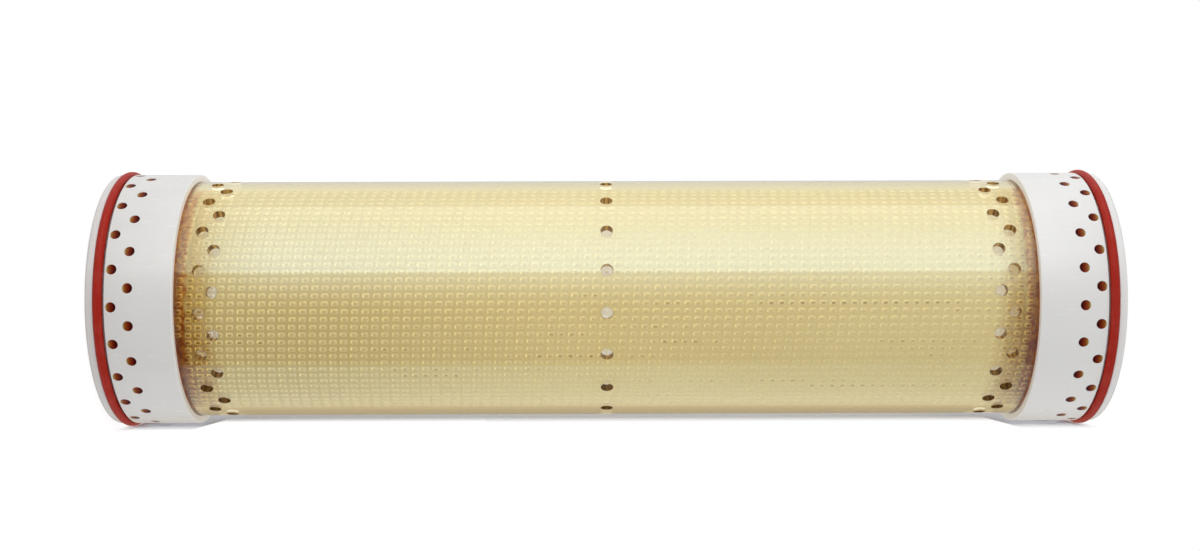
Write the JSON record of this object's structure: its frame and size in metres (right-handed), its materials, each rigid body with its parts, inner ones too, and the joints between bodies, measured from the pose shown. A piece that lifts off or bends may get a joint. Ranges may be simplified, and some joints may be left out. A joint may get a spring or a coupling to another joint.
{
  "type": "hollow fiber ultrafiltration cartridge",
  "caption": "Clear perforated tube between white end rings with red seal rings, holding a netted bundle of hollow membrane fibres cast in resin at each end.",
  "frame": {"origin": "centre of the lower end face, on which the cartridge stands", "axes": "+Z along the axis of the cartridge, up; -Y is the side that the picture shows; +X is the side that is below in it"},
  "size_m": [0.2796, 0.2796, 1.066],
  "materials": {
    "tube_clear": "clear amber, polished",
    "ring_white": "moulded, satin gloss",
    "seal_red": "smooth silicone rubber",
    "resin_amber": "cast resin, dark amber",
    "net_clear": "translucent net",
    "fibre": "porous membrane"
  },
  "bodies": {
    "root": {"shell_tube": "tube_clear", "lower_end_ring": "ring_white", "upper_end_ring": "ring_white", "lower_o_ring": "seal_red", "upper_o_ring": "seal_red", "lower_potting": "resin_amber", "upper_potting": "resin_amber", "net_sleeve": "net_clear", "fibre_bundle": "fibre"}
  },
  "joints": []
}
